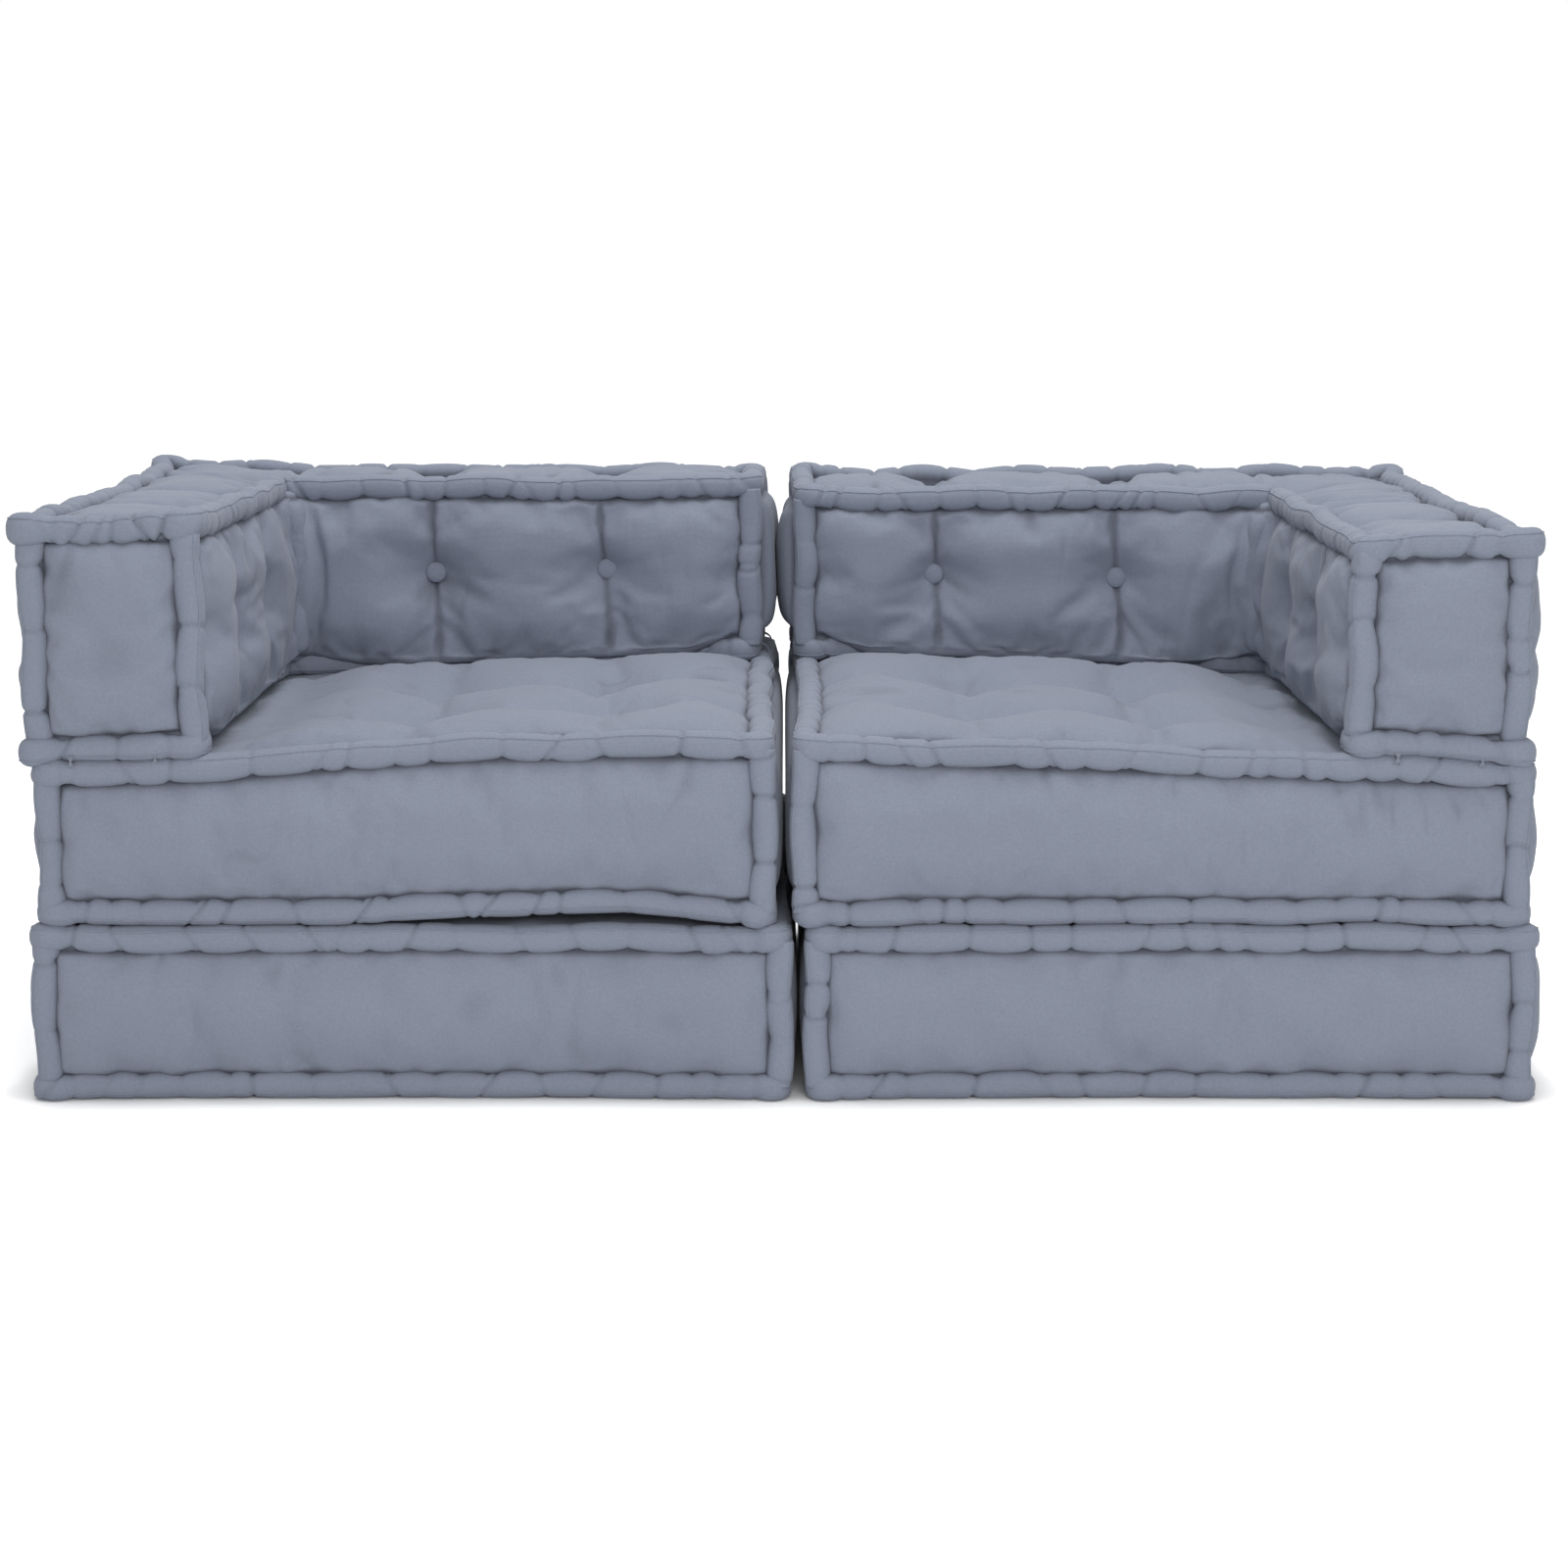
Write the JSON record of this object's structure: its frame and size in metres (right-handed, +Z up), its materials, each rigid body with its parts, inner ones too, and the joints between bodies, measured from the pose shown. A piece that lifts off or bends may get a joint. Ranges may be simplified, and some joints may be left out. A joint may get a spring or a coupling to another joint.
{
  "type": "modular floor sofa",
  "caption": "Low modular sofa of stacked-mattress corner units, with tufted seats, L-shaped button-tufted arm and back cushions, and stitched rolled edges.",
  "frame": {"origin": "on the floor, under the middle of the sofa's bounding box", "axes": "+X to the right along the sofa's width, +Y from the front to the rear, +Z up"},
  "size_m": [1.4253, 0.714, 0.548],
  "materials": {
    "cotton": "matte woven cotton",
    "button_cotton": "matte woven cotton, stretched",
    "foam": "matte foam and wadding",
    "twine": "matte twisted twine"
  },
  "bodies": {
    "left_base": {"left_base_cover": "cotton", "left_base_bottom_panel": "cotton", "left_base_core": "foam", "left_base_edge_roll": "cotton"},
    "left_seat": {"left_seat_cover": "cotton", "left_seat_bottom_panel": "cotton", "left_seat_core": "foam", "left_seat_edge_roll": "cotton", "left_back_cover": "cotton", "left_back_bottom_panel": "cotton", "left_back_core": "foam", "left_back_edge_roll": "cotton", "left_back_front_button_1": "button_cotton", "left_back_front_button_2": "button_cotton", "left_back_front_button_3": "button_cotton", "left_back_front_button_4": "button_cotton", "left_back_rear_button_1": "button_cotton", "left_back_rear_button_2": "button_cotton", "left_back_rear_button_3": "button_cotton", "left_back_rear_button_4": "button_cotton", "left_back_tuft_twine_1": "twine", "left_back_tuft_twine_2": "twine", "left_back_tuft_twine_3": "twine", "left_back_tuft_twine_4": "twine", "left_arm_outer_stitch": "twine", "left_arm_inner_stitch": "twine", "left_back_front_stitch": "twine", "left_back_rear_stitch": "twine"},
    "right_base": {"right_base_cover": "cotton", "right_base_bottom_panel": "cotton", "right_base_core": "foam", "right_base_edge_roll": "cotton"},
    "right_seat": {"right_seat_cover": "cotton", "right_seat_bottom_panel": "cotton", "right_seat_core": "foam", "right_seat_edge_roll": "cotton", "right_back_cover": "cotton", "right_back_bottom_panel": "cotton", "right_back_core": "foam", "right_back_edge_roll": "cotton", "right_back_front_button_1": "button_cotton", "right_back_front_button_2": "button_cotton", "right_back_front_button_3": "button_cotton", "right_back_front_button_4": "button_cotton", "right_back_rear_button_1": "button_cotton", "right_back_rear_button_2": "button_cotton", "right_back_rear_button_3": "button_cotton", "right_back_rear_button_4": "button_cotton", "right_back_tuft_twine_1": "twine", "right_back_tuft_twine_2": "twine", "right_back_tuft_twine_3": "twine", "right_back_tuft_twine_4": "twine", "right_arm_outer_stitch": "twine", "right_arm_inner_stitch": "twine", "right_back_front_stitch": "twine", "right_back_rear_stitch": "twine"}
  },
  "joints": [
    {"name": "left_seat_lift", "type": "slide", "parent": "left_base", "child": "left_seat", "axis": [0, 0, 1], "range_m": [0, 0.4]},
    {"name": "right_module_slide", "type": "slide", "parent": "left_base", "child": "right_base", "axis": [1, 0, 0], "range_m": [0, 0.75]},
    {"name": "right_seat_lift", "type": "slide", "parent": "right_base", "child": "right_seat", "axis": [0, 0, 1], "range_m": [0, 0.4]}
  ]
}
